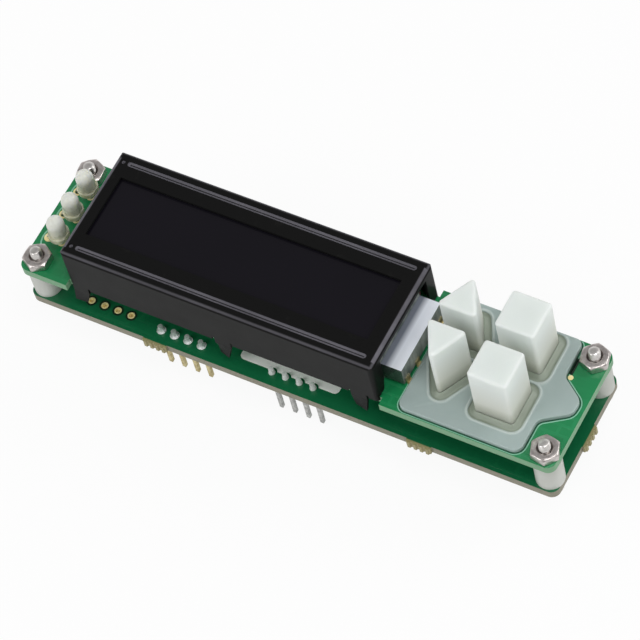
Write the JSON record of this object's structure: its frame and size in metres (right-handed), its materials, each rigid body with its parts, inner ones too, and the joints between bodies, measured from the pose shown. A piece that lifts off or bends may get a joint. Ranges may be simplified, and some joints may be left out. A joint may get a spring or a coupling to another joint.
{
  "type": "character lcd module",
  "caption": "Character display module: bezelled display, indicator lights and silicone keys on a green board spaced above a second board with pin headers below.",
  "frame": {"origin": "centre of the four screw ends, on the plane of the nuts' top faces, in front of the upper board", "axes": "+X from the indicator lights to the keypad, +Y from the header side to the back edge, +Z out of the display towards the viewer"},
  "size_m": [0.0986, 0.0246, 0.0312],
  "materials": {
    "board_green": "satin solder mask",
    "nylon": "satin",
    "plated_steel": "bright plated",
    "bezel_black": "satin black",
    "display_film": "gloss",
    "display_glass": "clear with dark cell",
    "zebra_rubber": "matte",
    "backlight_white": "satin translucent",
    "solder_tabs": "tinned",
    "light_milky": "milky diffused",
    "tinned_wire": "tinned",
    "mat_silicone": "translucent matte",
    "key_silicone": "milky translucent matte",
    "carbon": "matte carbon",
    "gold": "gold plated",
    "header_black": "matte",
    "pin_gold": "pale gold plated",
    "pin_tin": "tinned",
    "solder": "bright solder",
    "label_paper": "matte paper film",
    "resin_black": "satin resin",
    "package_black": "matte moulded",
    "can_metal": "drawn can",
    "ceramic_tan": "ceramic with tinned ends"
  },
  "bodies": {
    "module": {"lower_board": "board_green", "upper_board": "board_green", "spacer_front_left": "nylon", "spacer_front_right": "nylon", "spacer_back_left": "nylon", "spacer_back_right": "nylon", "screws": "plated_steel", "nuts": "plated_steel", "bezel": "bezel_black", "front_polariser": "display_film", "front_glass": "display_glass", "rear_glass": "display_glass", "rear_polariser": "display_film", "zebra_front": "zebra_rubber", "zebra_back": "zebra_rubber", "backlight": "backlight_white", "backlight_tabs": "solder_tabs", "light_front": "light_milky", "light_middle": "light_milky", "light_back": "light_milky", "light_leads": "tinned_wire", "keypad_mat": "mat_silicone", "web_up": "mat_silicone", "web_down": "mat_silicone", "web_enter": "mat_silicone", "web_cancel": "mat_silicone", "key_contacts": "gold", "header_left": "header_black", "header_right": "header_black", "pins_left": "pin_gold", "pins_right": "pin_tin", "solder_joints": "solder", "plated_pads": "gold", "blank_label": "label_paper", "link_socket": "header_black", "link_plug": "header_black", "link_pins": "pin_gold", "driver_caps": "resin_black", "controller": "package_black", "controller_legs": "tinned_wire", "crystal": "can_metal", "regulator": "package_black", "chip_parts": "ceramic_tan"},
    "key_up_body": {"key_up": "key_silicone", "pill_up": "carbon"},
    "key_down_body": {"key_down": "key_silicone", "pill_down": "carbon"},
    "key_enter_body": {"key_enter": "key_silicone", "pill_enter": "carbon"},
    "key_cancel_body": {"key_cancel": "key_silicone", "pill_cancel": "carbon"}
  },
  "joints": [
    {"name": "press_up", "type": "slide", "parent": "module", "child": "key_up_body", "axis": [0, 0, -1], "range_m": [0, 0.001], "stiffness_N_per_m": 500, "deforming": ["web_up"]},
    {"name": "press_down", "type": "slide", "parent": "module", "child": "key_down_body", "axis": [0, 0, -1], "range_m": [0, 0.001], "stiffness_N_per_m": 500, "deforming": ["web_down"]},
    {"name": "press_enter", "type": "slide", "parent": "module", "child": "key_enter_body", "axis": [0, 0, -1], "range_m": [0, 0.001], "stiffness_N_per_m": 500, "deforming": ["web_enter"]},
    {"name": "press_cancel", "type": "slide", "parent": "module", "child": "key_cancel_body", "axis": [0, 0, -1], "range_m": [0, 0.001], "stiffness_N_per_m": 500, "deforming": ["web_cancel"]}
  ]
}
